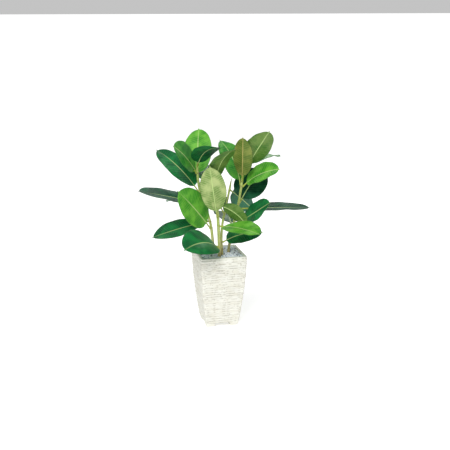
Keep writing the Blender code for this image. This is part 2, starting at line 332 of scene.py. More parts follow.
@dataclass(frozen=True)
class StemBark:
    """Stem skin: brown with pale streaks at the foot, fresh yellow-green towards the top."""

    foot: tuple[float, float, float] = (0.230, 0.150, 0.060)
    streak: tuple[float, float, float] = (0.620, 0.560, 0.260)
    fresh: tuple[float, float, float] = (0.330, 0.460, 0.090)
    green_from: float = 0.225
    green_to: float = 0.345

    def material(self) -> bpy.types.Material:
        """The finish as a material."""
        shader = Shader("stem_bark", roughness=0.5, coat=0.1)
        place = shader.object_place()
        _, _, height = shader.split(place)
        streaks = shader.grain(shader.stretch(place, (1.0, 1.0, 0.06)), 520.0, 3.0)
        patches = shader.grain(place, 90.0, 3.0)
        woody = shader.blend(streaks.ramp(0.42, 0.62), self.foot, self.streak)
        young = shader.blend(streaks.ramp(0.3, 0.75) * 0.6, self.fresh, self.streak)
        age = (height + patches * 0.05).ramp(self.green_from, self.green_to)
        bark = shader.blend(age, woody, young)
        shader.colour(shader.blend(shader.attribute("scar"), bark, self.foot))
        shader.bump(streaks + patches * 0.5, 0.5, 0.0008)
        return shader.material


@dataclass(frozen=True)
class LeafSkin:
    """The two faces of a leaf: a glossy upper face and a paler, satin underside."""

    name: str
    upper: tuple[float, float, float]
    # patch and under_patch: the lighter colours of the cloudy patches, partly mottling and partly painted
    # sheen, and of the veins
    patch: tuple[float, float, float]
    under: tuple[float, float, float]
    under_patch: tuple[float, float, float]
    midrib: tuple[float, float, float] = (0.520, 0.680, 0.260)
    stalk: tuple[float, float, float] = (0.420, 0.480, 0.090)
    margin: tuple[float, float, float] = (0.050, 0.110, 0.030)
    shine: float = 0.22

    def _blade(self, shader: Shader, base: tuple[float, float, float], patch: tuple[float, float, float],
               rib_width: float, vein_show: float, bump: float) -> None:
        """Colour and relief that follow the leaf's own map: across it and along it, in metres.

        Args:
            shader: the material to feed.
            base: the face's main colour.
            patch: the lighter colour in its cloudy patches, which are partly the leaf's own mottling and
                partly painted sheen.
            rib_width: half the midrib's width.
            vein_show: how strongly the side veins show in the colour.
            bump: how strongly the veins stand in relief.
        """
        unit = LeafStock.MAP_UNIT
        leaf_map = shader.node("ShaderNodeUVMap", {"uv_map": LeafStock.MAP_NAME}, {})
        u, v, _ = shader.split(leaf_map)
        across = ((u - 0.5) * unit).size()
        along = (v - 0.5) * unit
        place = shader.object_place()
        # Cloudy patches that stand partly for the leaf's own mottling and partly for painted sheen
        mottle_and_sheen = shader.grain(place, 34.0, 4.0)
        fine = shader.grain(place, 420.0, 3.0)

        wander = shader.grain(place, 70.0, 2.0)
        vein_phase = (along - across * 0.42 + wander * 0.004) * (tau / 0.0075)
        vein = vein_phase.wave().ramp(0.45, 1.0)
        rib = across.ramp(rib_width, rib_width * 0.35) * along.ramp(0.19, 0.06)
        edge = shader.attribute("edge").ramp(0.95, 1.0)

        # Lighter cloudy patches: partly the leaf's own mottling, partly painted sheen
        tone = shader.blend(mottle_and_sheen.ramp(0.36, 0.68), base, patch)
        tone = shader.blend(vein * vein_show, tone, patch)
        tone = shader.blend(fine.ramp(0.5, 0.9) * 0.12, tone, patch)
        tone = shader.blend(edge * 0.75, tone, self.margin)
        tone = shader.blend(rib * 0.9, tone, self.midrib)
        tone = shader.blend(along.ramp(0.004, -0.004), tone, self.stalk)
        shader.colour(tone)
        shader.bump(rib * 1.5 + vein * 0.6 + fine * 0.25, bump, 0.0006)

    def upper_material(self) -> bpy.types.Material:
        """The glossy upper face."""
        shader = Shader(self.name + "_upper", roughness=0.36, coat=0.05, coat_roughness=0.15,
                        specular=self.shine)
        self._blade(shader, self.upper, self.patch, 0.0021, 0.60, 0.80)
        return shader.material

    def under_material(self) -> bpy.types.Material:
        """The satin underside."""
        shader = Shader(self.name + "_under", roughness=0.48, specular=0.16)
        self._blade(shader, self.under, self.under_patch, 0.0022, 0.60, 0.75)
        return shader.material


class Tone(Enum):
    """The tones of green that the leaves come in."""

    BRIGHT = LeafSkin("leaf_bright", (0.036, 0.240, 0.012), (0.140, 0.430, 0.040), (0.250, 0.350, 0.090),
                      (0.400, 0.470, 0.180))
    MID = LeafSkin("leaf_mid", (0.014, 0.170, 0.018), (0.085, 0.350, 0.040), (0.250, 0.350, 0.090),
                   (0.400, 0.470, 0.180))
    DEEP = LeafSkin("leaf_deep", (0.001, 0.078, 0.022), (0.006, 0.190, 0.040), (0.110, 0.230, 0.090),
                    (0.220, 0.350, 0.160))
    DARK = LeafSkin("leaf_dark", (0.004, 0.040, 0.020), (0.014, 0.100, 0.045), (0.060, 0.120, 0.040),
                    (0.120, 0.190, 0.070), shine=0.04)
    OLIVE = LeafSkin("leaf_olive", (0.050, 0.150, 0.018), (0.140, 0.240, 0.050), (0.170, 0.230, 0.060),
                     (0.340, 0.390, 0.150))
    WARM = LeafSkin("leaf_warm", (0.085, 0.150, 0.018), (0.210, 0.250, 0.050), (0.150, 0.150, 0.028),
                    (0.280, 0.280, 0.075), midrib=(0.480, 0.420, 0.130))
    PALE = LeafSkin("leaf_pale", (0.150, 0.260, 0.060), (0.420, 0.500, 0.200), (0.330, 0.400, 0.130),
                    (0.540, 0.590, 0.290))
    TEAL = LeafSkin("leaf_teal", (0.010, 0.105, 0.050), (0.030, 0.190, 0.090), (0.090, 0.240, 0.130),
                    (0.190, 0.370, 0.240))


# ------------------------------------------------------------------ modelling helpers

def deselect_all() -> None:
    """Leave object mode with nothing selected."""
    if bpy.context.object is not None and bpy.context.object.mode != "OBJECT":
        bpy.ops.object.mode_set(mode="OBJECT")
    bpy.ops.object.select_all(action="DESELECT")


def tube_stock(sides: int, rings: int) -> bpy.types.Mesh:
    """A closed tube of unit size along Z, cut into rings, ready to be shaped.

    Args:
        sides: points round the tube.
        rings: rings along it, both ends included.

    Returns:
        The mesh; its points carry whole numbers "ring" and "side".
    """
    deselect_all()
    bpy.ops.mesh.primitive_cylinder_add(vertices=sides, radius=1.0, depth=1.0, location=(0, 0, 0.5),
                                        end_fill_type="TRIFAN")
    stock = bpy.context.object
    bpy.ops.object.mode_set(mode="EDIT")
    bpy.ops.mesh.select_mode(type="EDGE")
    bpy.ops.mesh.select_all(action="DESELECT")
    bpy.ops.object.mode_set(mode="OBJECT")
    points = stock.data.vertices
    for edge in stock.data.edges:
        low, high = (points[i].co for i in edge.vertices)
        edge.select = abs(low.z - high.z) > 0.5
    bpy.ops.object.mode_set(mode="EDIT")
    bpy.ops.mesh.subdivide(number_cuts=rings - 2)
    bpy.ops.object.mode_set(mode="OBJECT")
    bpy.ops.object.transform_apply(location=True, rotation=True, scale=True)
    mesh = stock.data
    co = read_points(mesh)
    ring = np.rint(co[:, 2] * (rings - 1)).astype(int)
    side = np.rint(np.arctan2(co[:, 1], co[:, 0]) / tau * sides).astype(int) % sides
    centre = np.hypot(co[:, 0], co[:, 1]) < 0.5
    side[centre] = -1
    for name, values in (("ring", ring), ("side", side)):
        mesh.attributes.new(name, "INT", "POINT").data.foreach_set("value", values)
    bpy.data.objects.remove(stock)
    return mesh


def read_points(mesh: bpy.types.Mesh) -> np.ndarray:
    """A mesh's points as rows of x, y and z."""
    co = np.empty(len(mesh.vertices) * 3, dtype=np.float32)
    mesh.vertices.foreach_get("co", co)
    return co.reshape(-1, 3).astype(float)


def read_numbers(mesh: bpy.types.Mesh, name: str) -> np.ndarray:
    """A whole-number attribute of a mesh's points."""
    values = np.empty(len(mesh.vertices), dtype=np.int32)
    mesh.attributes[name].data.foreach_get("value", values)
    return values


def write_points(mesh: bpy.types.Mesh, co: np.ndarray) -> None:
    """Move a mesh's points."""
    mesh.vertices.foreach_set("co", co.astype(np.float32).ravel())
    mesh.update()


def write_shade(mesh: bpy.types.Mesh, name: str, values: np.ndarray) -> None:
    """Store a number on each of a mesh's points."""
    mesh.attributes.new(name, "FLOAT", "POINT").data.foreach_set("value", values.astype(np.float32))


def add_piece(name: str, mesh: bpy.types.Mesh, materials: Iterable[bpy.types.Material],
              replaces: Sequence[str] = ()) -> bpy.types.Object:
    """Make a finished piece of a mesh that already lies in its place.

    Args:
        name: the piece's name.
        mesh: its mesh.
        materials: its materials, in slot order.
        replaces: the CAD nodes that it stands for.

    Returns:
        The piece, riding on the plant's one body.
    """
    mesh.name = name
    piece = bpy.data.objects.new(name, mesh)
    bpy.context.scene.collection.objects.link(piece)
    mesh.materials.clear()
    for material in materials:
        mesh.materials.append(material)
    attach(piece, "root")
    if replaces:
        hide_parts(*replaces)
    LOG.info("%s: %d faces", name, len(mesh.polygons))
    return piece


def smooth(mesh: bpy.types.Mesh) -> None:
    """Shade every face smooth."""
    mesh.polygons.foreach_set("use_smooth", [True] * len(mesh.polygons))
    mesh.update()


# ------------------------------------------------------------------ planter

@dataclass
class Planter:
    """The tapered planter: a stacked-stone face, a plain lip and four corner feet."""

    height: float
    top_width: float
    foot_width: float = 0.100
    bulge_power: float = 1.6
    wall: float = 0.008
    lip: float = 0.005
    plinth: float = 0.013
    foot_height: float = 0.011
    foot_size: float = 0.025
    floor: float = 0.014
    course_height: float = 0.0077
    per_side: int = 64
    rows: int = 232
    inner_rows: int = 24
    rim_round: float = 0.0012
    base_round: float = 0.0015
    corner_share: float = 0.07
    course_waver: float = 0.0034
    joint_depth: float = 0.0016
    bed_reach: float = 0.0017
    butt_reach: float = 0.0012
    pillow_depth: float = 0.0019
    pillow_reach: float = 0.0036
    stone_rough: float = 0.0007
    plinth_rough: float = 0.0006
    pit_threshold: float = 0.42
    seed: int = 11

    def half_width(self, height: np.ndarray) -> np.ndarray:
        """Half the planter's width at heights above the floor."""
        fall = np.clip(1.0 - height / self.height, 0.0, 1.0)
        return self.top_width / 2 - (self.top_width - self.foot_width) / 2 * fall ** self.bulge_power

    def outline(self, share: np.ndarray) -> tuple[np.ndarray, np.ndarray]:
        """Points of a rounded square of half-width 1, by share of the way round.

        Args:
            share: 0 to 1 round the square from the middle of its +X side.

        Returns:
            The points and their outward normals, both as rows of x and y.
        """
        soft = self.corner_share
        quarter = share * 4.0
        place = quarter - np.floor(quarter + 0.5)
        turn = np.floor(quarter + 0.5) * pi / 2
        along = place * 2.0
        corner = np.clip((np.abs(along) - (1.0 - soft)) / soft, 0.0, 1.0) * pi / 4
        straight = np.minimum(np.abs(along), 1.0 - soft)
        x = 1.0 - soft + soft * np.cos(corner)
        y = np.sign(along) * (straight + soft * np.sin(corner))
        normal_x = np.cos(corner)
        normal_y = np.sign(along) * np.sin(corner)
        cosine, sine = np.cos(turn), np.sin(turn)
        points = np.stack([x * cosine - y * sine, x * sine + y * cosine], axis=1)
        normals = np.stack([normal_x * cosine - normal_y * sine, normal_x * sine + normal_y * cosine], axis=1)
        return points, normals

    def stone_relief(self, share: float, height: float, courses: list[float], joints: list[list[float]],
                     lifts: list[list[float]]) -> tuple[float, float]:
        """How far the stone face stands out at a place, and how deep in a joint it lies.

        Args:
            share: the way round the planter.
            height: the height above the floor.
            courses: the heights of the bed joints.
            joints: for each course, the shares where its stones meet.
            lifts: for each course, how far each of its stones stands out.

        Returns:
            The relief in metres and the hollow from 0 to 1.
        """
        angle = share * tau
        around = Vector((cos(angle) * 0.09, sin(angle) * 0.09, 0.0))
        sag = self.course_waver * noise.noise(around * 75.0 + Vector((0.0, 0.0, height * 14.0)))
        level = height + sag
        course = max(i for i, z in enumerate(courses) if z <= level or i == 0)
        course = min(course, len(courses) - 2)
        bed = min(abs(level - courses[course]), abs(courses[course + 1] - level))
        stone = sum(1 for joint in joints[course] if joint <= share) % len(lifts[course])
        end = min(abs((share - joint + 0.5) % 1.0 - 0.5) for joint in joints[course]) * 4 * self.top_width
        rough = noise.fractal(Vector((around.x * 70.0, around.y * 70.0, level * 190.0)), 0.9, 2.1, 4)
        if level < self.plinth:
            return self.plinth_rough * rough, 0.0
        pit = noise.noise(Vector((around.x * 230.0, around.y * 230.0, level * 330.0)))
        gap = max(1.0 - bed / self.bed_reach, 0.0)
        butt = max(1.0 - end / self.butt_reach, 0.0)
        hole = max(pit - self.pit_threshold, 0.0) * 3.0
        hollow = min(max(gap, butt * 0.8, hole), 1.0)
        pillow = self.pillow_depth * min(bed / self.pillow_reach, 1.0) ** 0.6
        relief = lifts[course][stone] + pillow + self.stone_rough * rough - self.joint_depth * hollow
        return relief, hollow

    def build(self) -> None:
        """Model the planter and dress it; it stands for the CAD planter."""
        rng = random.Random(self.seed)
        low, high = self.plinth, self.height - self.lip
        courses = [low]
        while courses[-1] < high - self.course_height * 0.6:
            courses.append(courses[-1] + self.course_height * rng.uniform(0.85, 1.12))
        courses[-1] = high
        joints = [sorted(rng.random() for _ in range(rng.randint(9, 15))) for _ in courses]
        lifts = [[rng.uniform(-0.0006, 0.0004) for _ in row] for row in joints]

        sides = 4 * self.per_side
        rim = self.height - self.rim_round
        profile = [(0.0, -self.base_round)]
        profile += [(z, 0.0) for z in np.linspace(self.base_round, rim, self.rows)]
        profile += [(self.height, -self.rim_round), (self.height, -self.wall + self.rim_round)]
        profile += [(z, -self.wall) for z in np.linspace(rim, self.floor, self.inner_rows)]
        mesh = tube_stock(sides, len(profile))
        ring = read_numbers(mesh, "ring")
        side = read_numbers(mesh, "side")
        share = np.where(side < 0, 0, side) / sides
        points, normals = self.outline(share)
        heights = np.array([z for z, _ in profile])[ring]
        insets = np.array([offset for _, offset in profile])[ring]
        half = self.half_width(heights) + insets
        relief = np.zeros(len(ring))
        hollow = np.zeros(len(ring))
        faces = (heights > 0.001) & (heights < high) & (insets == 0.0) & (side >= 0)
        for i in np.nonzero(faces)[0]:
            place, level = float(share[i]), float(heights[i])
            relief[i], hollow[i] = self.stone_relief(place, level, courses, joints, lifts)
        x = points[:, 0] * half + normals[:, 0] * relief
        y = points[:, 1] * half + normals[:, 1] * relief
        # Off the diagonals, so that the feet's corners don't cut along the base's edges
        x[side < 0] = 0.0009
        y[side < 0] = 0.0004
        write_points(mesh, np.stack([x + PLANTER_X, y + PLANTER_Y, heights], axis=1))
        # The hollow drives the painted shade in the stone's joints and pits
        write_shade(mesh, "hollow", hollow)
        smooth(mesh)
        piece = add_piece("stone_planter", mesh, [StackedStone().material()], ["planter"])
        self.cut_feet(piece)

    def cut_feet(self, piece: bpy.types.Object) -> None:
        """Take a cross-shaped recess out of the underside, which leaves four feet.

        Args:
            piece: the finished planter.
        """
        near = self.foot_width / 2 - self.foot_size
        far = self.foot_width
        arm = [(far, -near), (far, near), (near, near)]
        outline = []
        for quarter in range(4):
            c, s = round(cos(quarter * pi / 2)), round(sin(quarter * pi / 2))
            outline += [(x * c - y * s + PLANTER_X, x * s + y * c + PLANTER_Y) for x, y in arm]
        corners = [(x, y, z) for z in (-self.foot_height, self.foot_height) for x, y in outline]
        count = len(outline)
        sides = [(i, (i + 1) % count, (i + 1) % count + count, i + count) for i in range(count)]
        mesh = bpy.data.meshes.new("foot_recess")
        mesh.from_pydata(corners, [], [tuple(reversed(range(count))), tuple(range(count, 2 * count)), *sides])
        cutter = bpy.data.objects.new("foot_recess", mesh)
        bpy.context.scene.collection.objects.link(cutter)
        cut = piece.modifiers.new("feet", "BOOLEAN")
        cut.object = cutter
        cut.operation = "DIFFERENCE"
        deselect_all()
        piece.select_set(True)
        bpy.context.view_layer.objects.active = piece
        bpy.ops.object.modifier_apply(modifier=cut.name)
        bpy.data.objects.remove(cutter)
        bpy.ops.object.mode_set(mode="EDIT")
        bpy.ops.mesh.select_all(action="SELECT")
        bpy.ops.mesh.quads_convert_to_tris(quad_method="BEAUTY", ngon_method="BEAUTY")
        bpy.ops.object.mode_set(mode="OBJECT")


# ------------------------------------------------------------------ stems

@dataclass
class Stem:
    """One stem: a route through a few points, thickened at its leaf scars, with a bud at its tip."""

    name: str
    route: list[tuple[float, float, float]]
    foot_radius: float
    tip_radius: float
    bud: float = 0.028
    steps: int = 90
    sides: int = 20

    def smooth_route(self, steps: int) -> np.ndarray:
        """Points along a smooth curve through the route's points, as in the CAD model.

        Args:
            steps: how many steps the curve is cut into.

        Returns:
            The points, from the foot to the tip.
        """
        knots = np.array(self.route, dtype=float)
        knots = np.vstack([2 * knots[0] - knots[1], knots, 2 * knots[-1] - knots[-2]])
        spans = len(knots) - 3
        line = []
        for step in range(steps + 1):
            place = step / steps * spans
            i = min(int(place), spans - 1)
            t = place - i
            a, b, c, d = knots[i:i + 4]
            line.append(0.5 * (2 * b + (c - a) * t + (2 * a - 5 * b + 4 * c - d) * t ** 2
                               + (3 * b - a - 3 * c + d) * t ** 3))
        return np.array(line)

    def radius(self, height: float) -> float:
        """The plain radius at a height."""
        share = (height - self.route[0][2]) / (self.route[-1][2] - self.route[0][2])
        return self.foot_radius + (self.tip_radius - self.foot_radius) * share

    def centre(self, height: float) -> np.ndarray:
        """The middle line's point at a height."""
        line = self.smooth_route(18)
        return np.array([np.interp(height, line[:, 2], line[:, axis]) for axis in range(3)])

    def build(self, scars: list[float], bark: bpy.types.Material) -> None:
        """Model the stem round its route.

        Args:
            scars: the heights where leaves grow or grew.
            bark: the stem's material.
        """
        mesh = tube_stock(self.sides, self.steps + 1)
        ring = read_numbers(mesh, "ring")
        side = read_numbers(mesh, "side")
        line = self.smooth_route(self.steps)
        top = line[-1][2]
        radii = []
        marks = []
        for place in line:
            swell = sum(max(1.0 - abs(place[2] - scar) / 0.0045, 0.0) ** 2 for scar in scars)
            closing = min(max((top - place[2]) / self.bud, 0.0), 1.0)
            taper = 0.10 + 0.90 * closing ** 0.7
            radii.append(self.radius(place[2]) * taper * (1.0 + 0.20 * min(swell, 1.0)))
            marks.append(min(swell, 1.0) * 0.6 + (1.0 - closing) * 0.5)
        angle = np.where(side < 0, 0, side) / self.sides * tau
        width = np.where(side < 0, 0.0, np.array(radii)[ring])
        round_it = [np.cos(angle) * width, np.sin(angle) * width, np.zeros(len(ring))]
        co = line[ring] + np.stack(round_it, axis=1)
        co[:, 0] += PLANTER_X
        co[:, 1] += PLANTER_Y
        write_points(mesh, co)
        write_shade(mesh, "scar", np.array(marks)[ring])
        smooth(mesh)
        add_piece(self.name + "_grown", mesh, [bark], [self.name])


# ------------------------------------------------------------------ leaves

@dataclass
class LeafStock:
    """One piece of leaf, with its upper and lower faces, that every leaf is bent from.

    Across is a point's place from one edge, 1, to the other, -1, and face is 1 on top, -1
    underneath and 0 on the edges.
    """

    MAP_NAME = "leaf_map"
    MAP_UNIT = 0.5

    half_section: int = 20
    stalk_rings: int = 12
    blade_rings: int = 58
    across_steps: tuple[float, ...] = (1.0, 0.985, 0.93, 0.83, 0.70, 0.55, 0.39, 0.24, 0.12, 0.045, 0.0)

    def build(self) -> None:
        """Make the stock mesh and work out each point's place on a leaf."""
        self.mesh = tube_stock(2 * self.half_section, self.stalk_rings + self.blade_rings)
        self.ring = read_numbers(self.mesh, "ring")
        side = read_numbers(self.mesh, "side")
        self.centre = side < 0
        self.side = np.where(self.centre, 0, side)
        half = list(self.across_steps) + [-step for step in reversed(self.across_steps[:-1])]
        section = np.array(half + half[-2:0:-1])
        self.across = np.where(self.centre, 0.0, section[self.side])
        self.face = np.where(self.side <= self.half_section, 1.0, -1.0)
        self.face[(self.side == 0) | (self.side == self.half_section)] = 0.0
        self.angle = self.side * pi / self.half_section

        loops = np.empty(len(self.mesh.loops), dtype=np.int32)
        self.mesh.loops.foreach_get("vertex_index", loops)
        self.loops = loops
        under = []
        for face in self.mesh.polygons:
            sides = [self.side[i] for i in face.vertices if not self.centre[i]]
            low = max(sides) > self.half_section or (min(sides) == 0 and max(sides) > self.half_section + 1)
            under.append(int(low))
        self.mesh.materials.clear()
        self.mesh.materials.append(None)
        self.mesh.materials.append(None)
        self.mesh.polygons.foreach_set("material_index", under)
        self.mesh.uv_layers.new(name=self.MAP_NAME)
        smooth(self.mesh)


@dataclass
class Leaf:
    """One leaf: where it grows, how it bends, and how large it is.

    Angles are in degrees and lengths in metres.  The heading is measured from +X, the rise from
    level; droop and swing are the change of each along the leaf, and roll turns the leaf about
    its middle line.
    """

    stem: str
    height: float
    heading: float
    rise: float
    droop: float
    swing: float
    roll: float
    fold: float
    stalk: float
    length: float
    width: float
    tone: Tone

    def line(self, stem: Stem) -> tuple[np.ndarray, np.ndarray, np.ndarray, np.ndarray]:
        """The leaf's middle line.

        Args:
            stem: the stem that it grows on.

        Returns:
            The distance along it, its points, its directions and its headings in radians.
        """
        heading = radians(self.heading)
        outward = np.array([cos(heading), sin(heading), 0.0])
        start = stem.centre(self.height) + outward * (stem.radius(self.height) + STALK_GAP)
        start += np.array([PLANTER_X, PLANTER_Y, 0.0])
        total = self.stalk + self.length
        distance = np.linspace(0.0, total, 241)
        share = np.clip((distance - self.stalk / 2) / (total - self.stalk / 2), 0.0, 1.0)
        rise = np.radians(self.rise - self.droop * share)
        headings = np.radians(self.heading + self.swing * share)
        level = np.cos(rise)
        direction = np.stack([level * np.cos(headings), level * np.sin(headings), np.sin(rise)], axis=1)
        steps = (direction[1:] + direction[:-1]) / 2 * np.diff(distance)[:, None]
        return distance, start + np.vstack([np.zeros(3), np.cumsum(steps, axis=0)]), direction, headings

    def half_width(self, share: np.ndarray) -> np.ndarray:
        """Half the blade's width: an oval that ends in a fine tip.

        Args:
            share: places along the blade, from 0 at its base to 1 at its tip.

        Returns:
            The half-widths in metres.
        """
        oval_share = np.minimum(share / 0.955, 1.0) ** 0.93
        oval = np.maximum(1.0 - (2.0 * oval_share - 1.0) ** 2, 0.0) ** 0.55
        tip = np.where(share > 0.7, 0.085 * np.minimum((1.0 - share) / 0.1, 1.0) ** 0.8, 0.0)
        return (oval ** 4 + tip ** 4) ** 0.25 * self.width / 2

    def build(self, name: str, stem: Stem, stock: LeafStock,
              skins: dict[Tone, list[bpy.types.Material]]) -> None:
        """Bend a copy of the stock to this leaf's shape.

        Args:
            name: the CAD node that the leaf stands for.
            stem: the stem that it grows on.
            stock: the flat leaf that it is copied from.
            skins: the two materials of each tone.
        """
        rng = random.Random(name)
        distance, points, direction, headings = self.line(stem)
        on_blade = np.arange(1, stock.blade_rings + 1) / stock.blade_rings
        blade_share = np.concatenate([np.zeros(stock.stalk_rings), (1.0 - np.cos(pi * on_blade)) / 2])
        stalk_place = np.linspace(0.0, 1.0, stock.stalk_rings) * self.stalk
        place = np.concatenate([stalk_place, self.stalk + blade_share[stock.stalk_rings:] * self.length])
        middle = np.stack([np.interp(place, distance, points[:, i]) for i in range(3)], axis=1)
        ahead = np.stack([np.interp(place, distance, direction[:, i]) for i in range(3)], axis=1)
        heading = np.interp(place, distance, headings)
        level_side = np.stack([-np.sin(heading), np.cos(heading), np.zeros(len(heading))], axis=1)
        level_up = np.cross(ahead, level_side)
        turn = radians(self.roll)
        side_way = cos(turn) * level_side + sin(turn) * level_up
        up_way = cos(turn) * level_up - sin(turn) * level_side

        ring = stock.ring
        share = blade_share[ring]
        foot = 1.0 + FOOT_SWELL * np.exp(-place / FOOT_REACH)
        stalk_radius = STALK_RADIUS * foot[ring]
        flat = np.clip(share / FLAT_FROM, 0.0, 1.0)
        half = np.maximum(self.half_width(share), 0.0004 + 0.0015 * (1.0 - flat))
        x = stock.across * half
        chance = rng.uniform(0.0, 90.0)
        wave = np.array([noise.noise(Vector((s * 5.5, c * 1.3, chance)))
                         for s, c in zip(share, stock.across)])
        fold = radians(self.fold)
        lift = np.abs(x) * sin(fold) * (1.0 - 0.35 * np.abs(stock.across))
        lift += WAVE_HEIGHT * wave * np.abs(stock.across) ** 1.6 * np.minimum(half / 0.02, 1.0)
        rib = (RIB_DEPTH * (1.0 - share) ** 1.3 + 0.0001) * np.exp(-(x / RIB_WIDTH) ** 2)
        groove = GROOVE_DEPTH * (1.0 - share) * np.exp(-(x / GROOVE_WIDTH) ** 2)
        skin = SKIN * np.minimum(half / 0.003, 1.0)
        thick = np.where(stock.face > 0, skin - groove, -skin - rib) * np.abs(stock.face)
        blade_x = x * cos(fold)
        blade_y = lift + thick
        stalk_x = np.cos(stock.angle) * stalk_radius
        stalk_y = np.sin(stock.angle) * stalk_radius
        out_x = stalk_x * (1.0 - flat) + blade_x * flat
        out_y = stalk_y * (1.0 - flat) + blade_y * flat
        out_x[stock.centre] = 0.0
        out_y[stock.centre] = 0.0
        co = middle[ring] + side_way[ring] * out_x[:, None] + up_way[ring] * out_y[:, None]

        mesh = stock.mesh.copy()
        write_points(mesh, co)
        along = place[ring] - self.stalk
        uv = np.stack([out_x, along], axis=1) / stock.MAP_UNIT + 0.5
        mesh.uv_layers[stock.MAP_NAME].data.foreach_set("uv", uv[stock.loops].astype(np.float32).ravel())
        write_shade(mesh, "edge", np.abs(stock.across) * flat)
        add_piece("grown_" + name, mesh, skins[self.tone], [name])


STEMS = {
    "main_stem": Stem("main_stem", [
        (-0.007, -0.039, 0.150), (-0.007, -0.039, 0.222), (-0.009, -0.041, 0.279), (-0.013, -0.046, 0.338),
        (-0.017, -0.050, 0.380), (-0.021, -0.044, 0.424), (-0.026, -0.034, 0.458)],
        foot_radius=0.0056, tip_radius=0.004),
    "slim_stem": Stem("slim_stem", [
        (0.005, -0.024, 0.150), (0.005, -0.024, 0.228), (0.004, -0.019, 0.273), (0.009, -0.011, 0.321),
        (0.024, 0.002, 0.375), (0.037, 0.012, 0.423), (0.045, 0.016, 0.460)],
        foot_radius=0.0042, tip_radius=0.0032),
    "right_stem": Stem("right_stem", [
        (0.030, 0.004, 0.150), (0.032, 0.003, 0.225), (0.038, 0.003, 0.264), (0.049, -0.002, 0.323),
        (0.060, -0.011, 0.382), (0.067, -0.016, 0.434), (0.072, -0.017, 0.471), (0.075, -0.014, 0.499)],
        foot_radius=0.0048, tip_radius=0.0036),
    "left_stem": Stem("left_stem", [
        (-0.014, 0.006, 0.150), (-0.016, 0.004, 0.222), (-0.020, 0.001, 0.275), (-0.028, -0.001, 0.328),
        (-0.045, 0.003, 0.385), (-0.058, 0.010, 0.428), (-0.063, 0.015, 0.474), (-0.064, 0.018, 0.515)],
        foot_radius=0.0048, tip_radius=0.0036),
}

LEAVES = {
    "leaf_left_crown_tall": Leaf(
        "left_stem", 0.458, 80, 66, 25, -8, -12, 9, 0.022, 0.160, 0.092, Tone.BRIGHT),
    "leaf_left_crown_side": Leaf(
        "left_stem", 0.480, -145, 55, 26, 3, -67, 12, 0.018, 0.128, 0.086, Tone.MID),
    "leaf_left_crown_front": Leaf(
        "left_stem", 0.504, -85, 51, 45, 24, -10, 10, 0.014, 0.140, 0.076, Tone.DEEP),
    "leaf_left_upper": Leaf(
        "left_stem", 0.420, 139, 51, 29, -5, -19, 6, 0.024, 0.178, 0.084, Tone.DEEP),
    "leaf_left_long": Leaf(
        "left_stem", 0.385, -168, 18, 4, 7, -18, 10, 0.030, 0.200, 0.080, Tone.DARK),
    "leaf_left_broad": Leaf(
        "left_stem", 0.308, -140, 47, 7, -7, -88, 7, 0.028, 0.180, 0.100, Tone.BRIGHT),
    "leaf_left_lower": Leaf(
        "left_stem", 0.330, 178, -10, 10, -6, -22, 10, 0.024, 0.160, 0.086, Tone.DEEP),
    "leaf_front_low": Leaf(
        "main_stem", 0.256, -138, 34, 52, -7, -34, 6, 0.014, 0.160, 0.106, Tone.DEEP),
    "leaf_centre_upright": Leaf(
        "main_stem", 0.355, -127, 71, -6, -8, 26, 16, 0.020, 0.154, 0.082, Tone.PALE),
    "leaf_centre_high": Leaf(
        "main_stem", 0.452, -68, 76, 55, -3, 5, 12, 0.020, 0.146, 0.080, Tone.OLIVE),
    "leaf_right_crown_inner": Leaf(
        "right_stem", 0.440, 108, 72, 39, 20, -6, 6, 0.018, 0.150, 0.090, Tone.MID),
    "leaf_right_crown_tall": Leaf(
        "right_stem", 0.490, -50, 56, 3, -2, -34, 10, 0.024, 0.134, 0.088, Tone.OLIVE),
    "leaf_right_crown_front": Leaf(
        "right_stem", 0.456, -104, 66, -8, 0, -14, 14, 0.020, 0.136, 0.062, Tone.WARM),
    "leaf_right_bright": Leaf(
        "right_stem", 0.438, -33, 46, 40, 4, 31, 11, 0.018, 0.118, 0.090, Tone.BRIGHT),
    "leaf_right_dark": Leaf(
        "right_stem", 0.385, 30, 52, 20, 0, 27, 8, 0.016, 0.126, 0.104, Tone.DARK),
    "leaf_right_lower": Leaf(
        "right_stem", 0.313, -54, 34, -1, 3, 46, 8, 0.028, 0.138, 0.084, Tone.DEEP),
    "leaf_right_long": Leaf(
        "right_stem", 0.367, -12, 2, 4, 2, 8, 11, 0.034, 0.193, 0.070, Tone.DARK),
    "leaf_front_right_low": Leaf(
        "slim_stem", 0.266, -20, 32, 36, 2, 40, 8, 0.012, 0.120, 0.068, Tone.DEEP),
    "leaf_front_right": Leaf(
        "main_stem", 0.325, -57, 9, 15, -7, 12, 12, 0.018, 0.154, 0.088, Tone.BRIGHT),
    "leaf_centre_hanging": Leaf(
        "main_stem", 0.392, -22, -16, 40, 0, -70, 9, 0.014, 0.092, 0.054, Tone.OLIVE),
    "leaf_right_hanging": Leaf(
        "slim_stem", 0.422, 35, -32, 10, -5, -85, 15, 0.012, 0.126, 0.072, Tone.TEAL),
    "leaf_back_left_high": Leaf(
        "left_stem", 0.440, 60, 35, 60, 0, 0, 9, 0.030, 0.165, 0.088, Tone.DEEP),
    "leaf_back_left_low": Leaf(
        "left_stem", 0.352, 120, 25, 50, 0, 0, 9, 0.030, 0.170, 0.088, Tone.DEEP),
    "leaf_back_right_high": Leaf(
        "right_stem", 0.488, 36, 30, 55, 0, 0, 9, 0.036, 0.150, 0.080, Tone.MID),
    "leaf_back_right_low": Leaf(
        "right_stem", 0.300, 85, 25, 50, 0, 0, 9, 0.030, 0.170, 0.088, Tone.DEEP),
    "leaf_back_middle": Leaf(
        "slim_stem", 0.352, 98, 28, 50, 0, 0, 9, 0.030, 0.160, 0.084, Tone.DARK),
}


